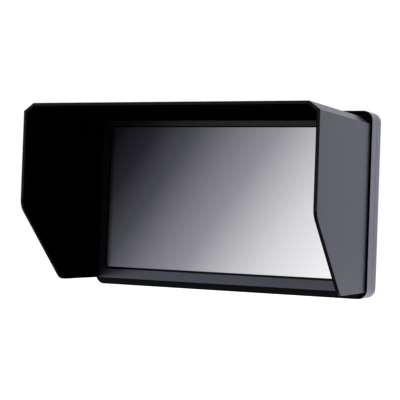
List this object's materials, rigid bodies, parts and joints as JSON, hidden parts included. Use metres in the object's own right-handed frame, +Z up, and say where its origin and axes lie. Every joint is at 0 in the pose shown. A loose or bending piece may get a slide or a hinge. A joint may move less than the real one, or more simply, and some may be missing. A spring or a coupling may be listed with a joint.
{
  "type": "camera field monitor with sun hood",
  "caption": "Flat camera-top field monitor in a black case with a slide-on three-sided sun hood, top control keys, side sockets and a rear battery plate.",
  "frame": {"origin": "mouth of the tripod thread, in the middle of the case's bottom face", "axes": "+X to the viewer's right, the screen faces -Y, +Z up"},
  "size_m": [0.1516, 0.099, 0.0937],
  "materials": {
    "case_black": "fine-textured black",
    "bezel_black": "satin black",
    "socket_metal": "satin anodised",
    "screw_black": "black oxide",
    "screw_steel": "plain",
    "tape": "black foam tape",
    "cover_glass": "clear, glossy",
    "panel": "glossy",
    "backlight": "white diffuser",
    "tray_steel": "zinc plated",
    "flex": "amber film",
    "board": "green lacquer",
    "brass": "plain",
    "chip": "moulded",
    "heat_sink": "plain",
    "plug_body": "ivory",
    "shell_steel": "nickel plated",
    "socket_black": "black",
    "contact_gold": "gold plated",
    "switch_grey": "plain",
    "light_pipe": "clear",
    "button_black": "satin",
    "wheel_black": "knurled",
    "shaft_steel": "ground",
    "encoder": "moulded",
    "plate_black": "fine-textured black",
    "spring_steel": "plain",
    "hood_black": "fine-textured black",
    "flock": "black flocked"
  },
  "bodies": {
    "case": {"front_bezel": "bezel_black", "rear_cover": "case_black", "tripod_socket": "socket_metal", "rear_cover_screws": "screw_black", "glass_tape": "tape", "cover_glass": "cover_glass", "lcd_panel": "panel", "backlight_unit": "backlight", "display_tray": "tray_steel", "tray_screws": "screw_steel", "display_flex": "flex", "main_board": "board", "board_standoffs": "brass", "board_screws": "screw_steel", "processor": "chip", "heat_sink": "heat_sink", "display_connector": "plug_body", "hdmi_in_socket": "shell_steel", "hdmi_out_socket": "shell_steel", "hdmi_tongues": "socket_black", "usb_socket": "shell_steel", "usb_tongue": "socket_black", "headphone_socket": "socket_black", "dc_in_socket": "socket_black", "dc_in_pin": "screw_steel", "button_board": "board", "tact_switches": "switch_grey", "button_flex": "flex", "power_led": "light_pipe", "wheel_encoder": "encoder", "battery_plate": "plate_black", "plate_screws": "screw_black", "battery_contacts": "contact_gold", "release_spring": "spring_steel"},
    "power_button": {"power_button": "button_black"},
    "f1_button": {"f1_button": "button_black"},
    "f2_button": {"f2_button": "button_black"},
    "f3_button": {"f3_button": "button_black"},
    "exit_button": {"exit_button": "button_black"},
    "wheel": {"menu_wheel": "wheel_black", "wheel_shaft": "shaft_steel"},
    "release": {"battery_release": "button_black"},
    "hood": {"hood_shell": "hood_black", "hood_lining": "flock"}
  },
  "joints": [
    {"name": "hood_lift", "type": "slide", "parent": "case", "child": "hood", "axis": [0, 0, 1], "range_m": [0, 0.095]},
    {"name": "power_press", "type": "slide", "parent": "case", "child": "power_button", "axis": [0, 0, -1], "range_m": [0, 0.0005], "stiffness_N_per_m": 400, "springref_m": -0.0005},
    {"name": "f1_press", "type": "slide", "parent": "case", "child": "f1_button", "axis": [0, 0, -1], "range_m": [0, 0.0005], "stiffness_N_per_m": 400, "springref_m": -0.0005},
    {"name": "f2_press", "type": "slide", "parent": "case", "child": "f2_button", "axis": [0, 0, -1], "range_m": [0, 0.0005], "stiffness_N_per_m": 400, "springref_m": -0.0005},
    {"name": "f3_press", "type": "slide", "parent": "case", "child": "f3_button", "axis": [0, 0, -1], "range_m": [0, 0.0005], "stiffness_N_per_m": 400, "springref_m": -0.0005},
    {"name": "exit_press", "type": "slide", "parent": "case", "child": "exit_button", "axis": [0, 0, -1], "range_m": [0, 0.0005], "stiffness_N_per_m": 400, "springref_m": -0.0005},
    {"name": "menu_turn", "type": "hinge", "parent": "case", "child": "wheel", "pos_m": [0.0358, 0.0019, 0.0877], "axis": [0, 1, 0], "continuous": true},
    {"name": "release_slide", "type": "slide", "parent": "case", "child": "release", "axis": [0, 0, -1], "range_m": [0, 0.003], "stiffness_N_per_m": 500, "springref_m": -0.002, "deforming": ["release_spring"]}
  ]
}
